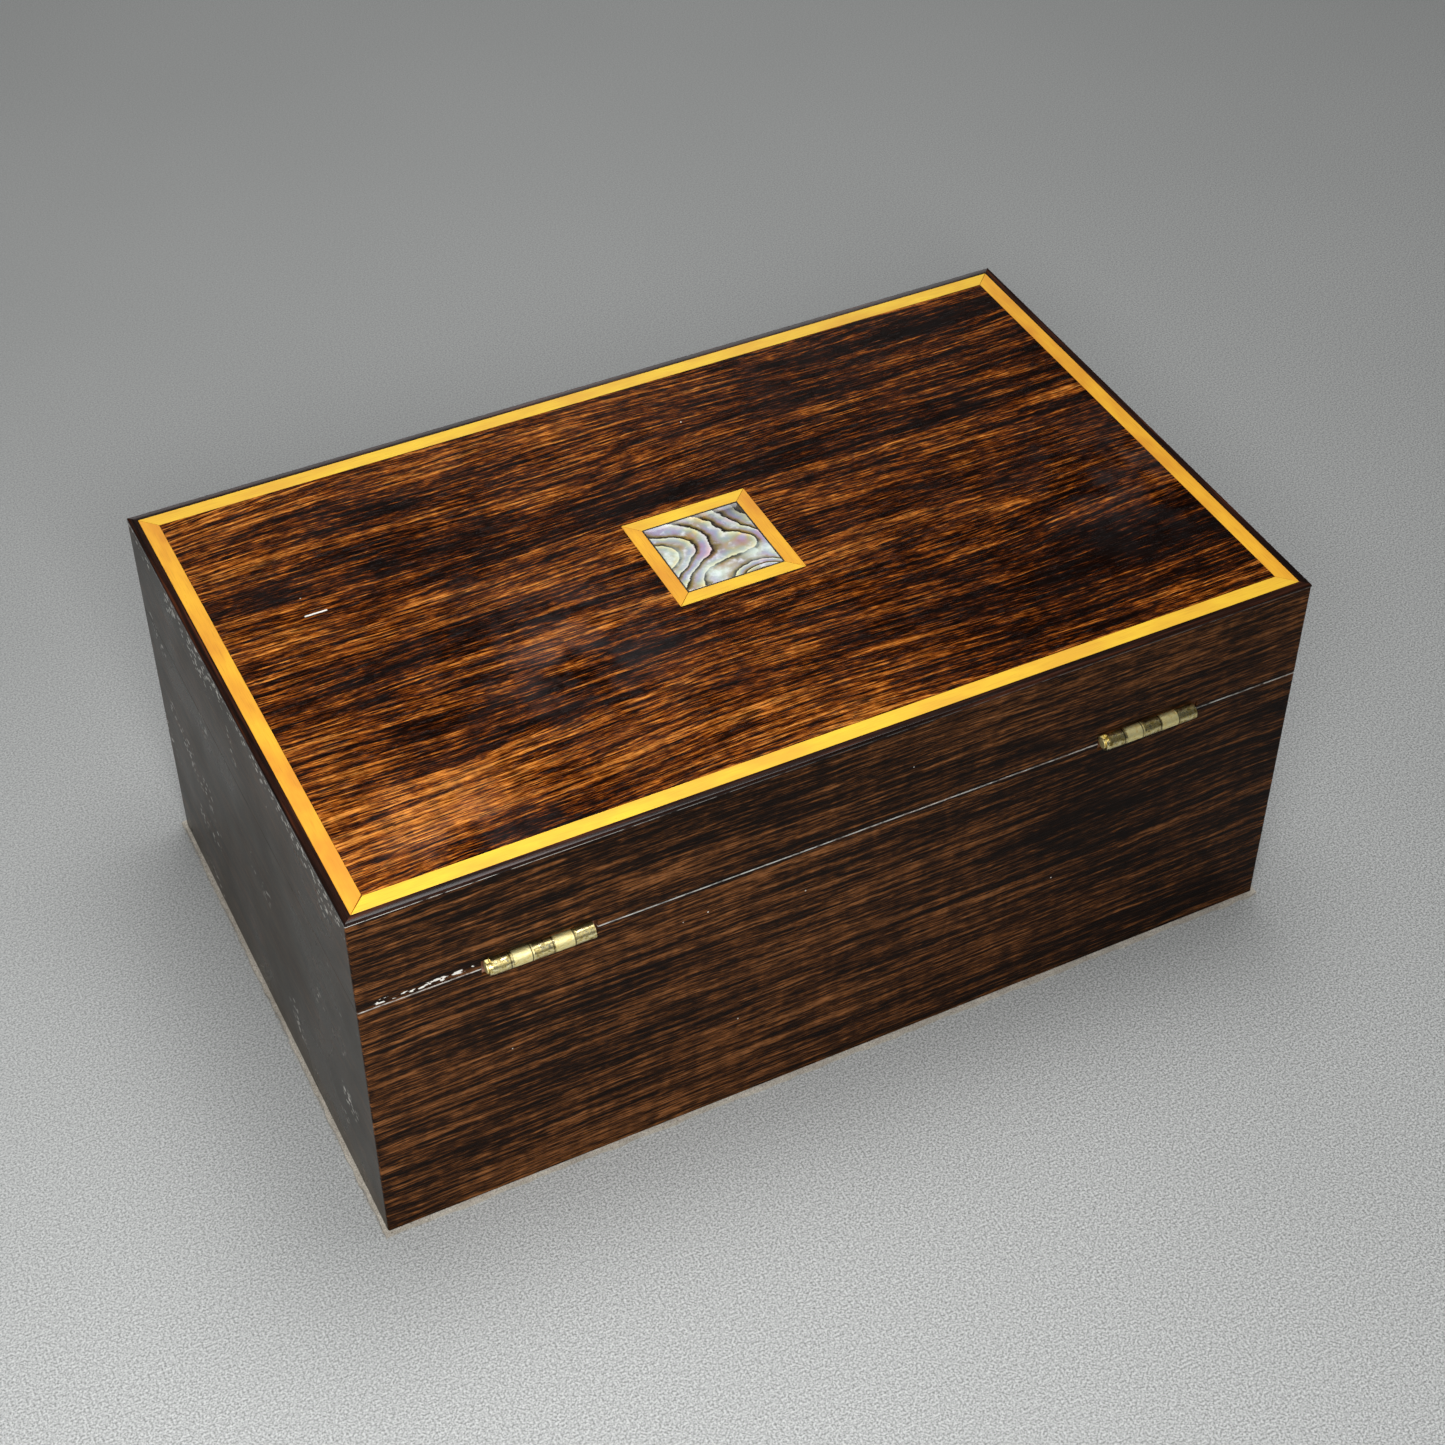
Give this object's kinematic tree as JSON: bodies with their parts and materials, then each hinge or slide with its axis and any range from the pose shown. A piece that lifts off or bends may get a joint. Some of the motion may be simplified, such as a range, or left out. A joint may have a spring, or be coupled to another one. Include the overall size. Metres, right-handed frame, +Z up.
{
  "type": "wooden puzzle box",
  "caption": "Veneered wooden puzzle box with a hinged lid, brass butt hinges, light stringing, a shell medallion and a sliding end that hides its lock bar.",
  "frame": {"origin": "middle of the underside, where the box rests", "axes": "+X along the length towards the plain right end, +Y to the hinged back, +Z up"},
  "size_m": [0.305, 0.1904, 0.134],
  "materials": {
    "lining_felt": "dark felt",
    "baize": "beige-brown baize",
    "brass": "polished brass",
    "shell": "polished abalone shell",
    "ebony": "black line",
    "light_stringing": "yellow boxwood, polished",
    "dark_crossband": "dark red-brown, polished",
    "striped_top_veneer": "striped rosewood, glossy lacquer",
    "striped_side_veneer": "striped rosewood, glossy lacquer",
    "carcass_wood": "oiled mahogany-type wood"
  },
  "bodies": {
    "base": {"base_front_wall": "carcass_wood", "base_back_wall": "carcass_wood", "base_right_wall": "carcass_wood", "base_left_wall": "carcass_wood", "base_front_veneer": "striped_side_veneer", "base_back_veneer": "striped_side_veneer", "base_right_veneer": "striped_side_veneer", "base_left_corner_veneer": "striped_side_veneer", "end_panel_top_rail": "striped_side_veneer", "end_panel_bottom_rail": "striped_side_veneer", "base_bottom_panel": "carcass_wood", "floor_lining": "lining_felt", "base_baize": "baize", "hinge_left_base_leaf": "brass", "hinge_left_pin": "brass", "hinge_right_base_leaf": "brass", "hinge_right_pin": "brass", "base_hinge_screws": "brass"},
    "lid": {"lid_front_rail": "carcass_wood", "lid_right_rail": "carcass_wood", "lid_back_rail": "carcass_wood", "lid_left_rail": "carcass_wood", "lid_front_veneer": "striped_side_veneer", "lid_right_veneer": "striped_side_veneer", "lid_back_veneer": "striped_side_veneer", "lid_left_veneer": "striped_side_veneer", "lid_top_board": "carcass_wood", "lid_lining": "lining_felt", "top_field_veneer": "striped_top_veneer", "crossband_front": "dark_crossband", "crossband_right": "dark_crossband", "crossband_back": "dark_crossband", "crossband_left": "dark_crossband", "stringing_front": "light_stringing", "stringing_right": "light_stringing", "stringing_back": "light_stringing", "stringing_left": "light_stringing", "medallion_strip_front": "light_stringing", "medallion_strip_right": "light_stringing", "medallion_strip_back": "light_stringing", "medallion_strip_left": "light_stringing", "medallion_ebony_line": "ebony", "abalone_tile": "shell", "hinge_left_lid_leaf": "brass", "hinge_right_lid_leaf": "brass", "lid_hinge_screws": "brass", "lid_hook_front": "brass", "lid_hook_rear": "brass"},
    "end_panel": {"end_panel_board": "carcass_wood", "end_panel_veneer": "striped_side_veneer", "end_panel_stop_peg": "light_stringing"},
    "lock_bar": {"lock_bar": "brass"}
  },
  "joints": [
    {"name": "lid_hinge", "type": "hinge", "parent": "base", "child": "lid", "pos_m": [0, 0.09415, 0.0989], "axis": [-1, 0, 0], "range_deg": [0, 98]},
    {"name": "end_panel_slide", "type": "slide", "parent": "base", "child": "end_panel", "axis": [0, -1, 0], "range_m": [0, 0.018]},
    {"name": "lock_bar_slide", "type": "slide", "parent": "base", "child": "lock_bar", "axis": [0, -1, 0], "range_m": [0, 0.0055]}
  ]
}
